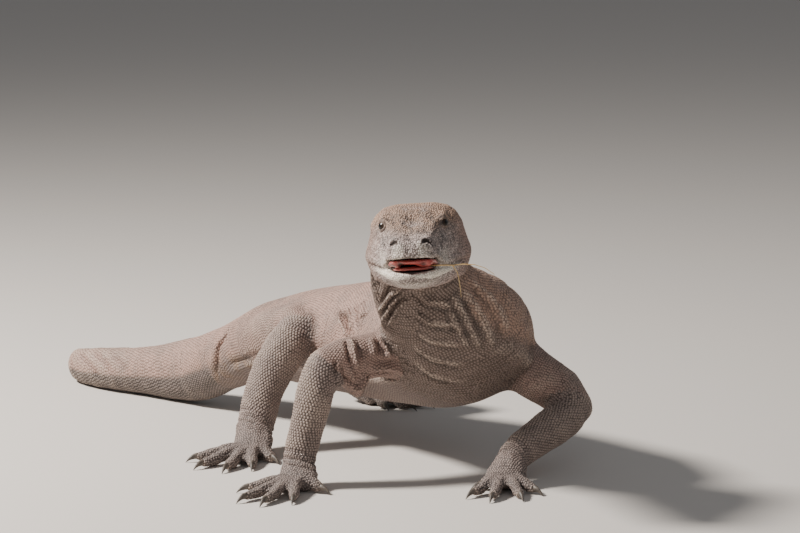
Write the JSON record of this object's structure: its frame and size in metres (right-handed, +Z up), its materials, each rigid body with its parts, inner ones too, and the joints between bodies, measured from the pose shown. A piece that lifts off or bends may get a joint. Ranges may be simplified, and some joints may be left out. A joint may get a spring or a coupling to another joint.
{
  "type": "komodo dragon",
  "caption": "Life-size komodo dragon standing with its head raised and turned, body curving away and tail bent on the ground; a still animal without joints.",
  "frame": {"origin": "on the floor, under the middle of the whole animal's bounding box", "axes": "+Z up; the trunk faces -Y, so +Y runs towards the tail; +X is the animal's left"},
  "size_m": [1.1426, 1.4022, 0.4448],
  "materials": {
    "hide": "rough beaded grey-tan scales",
    "mouth": "moist red gums and lining",
    "tongue": "moist yellow-tan",
    "horn": "worn dark horn",
    "eye": "wet, very smooth"
  },
  "bodies": {
    "root": {"head": "hide", "lower_jaw": "hide", "eye_right": "eye", "eye_left": "eye", "palate": "mouth", "mouth_floor": "mouth", "tongue": "tongue", "neck": "hide", "chest": "hide", "abdomen": "hide", "pelvis": "hide", "tail_1": "hide", "tail_2": "hide", "tail_3": "hide", "tail_4": "hide", "tail_5": "hide", "fore_right_upper_arm": "hide", "fore_right_forearm": "hide", "fore_right_foot": "hide", "fore_right_claw_1": "horn", "fore_right_claw_2": "horn", "fore_right_claw_3": "horn", "fore_right_claw_4": "horn", "fore_right_claw_5": "horn", "fore_left_upper_arm": "hide", "fore_left_forearm": "hide", "fore_left_foot": "hide", "fore_left_claw_1": "horn", "fore_left_claw_2": "horn", "fore_left_claw_3": "horn", "fore_left_claw_4": "horn", "fore_left_claw_5": "horn", "hind_right_thigh": "hide", "hind_right_shank": "hide", "hind_right_foot": "hide", "hind_right_claw_1": "horn", "hind_right_claw_2": "horn", "hind_right_claw_3": "horn", "hind_right_claw_4": "horn", "hind_right_claw_5": "horn", "hind_left_thigh": "hide", "hind_left_shank": "hide", "hind_left_foot": "hide", "hind_left_claw_1": "horn", "hind_left_claw_2": "horn", "hind_left_claw_3": "horn", "hind_left_claw_4": "horn", "hind_left_claw_5": "horn"}
  },
  "joints": []
}
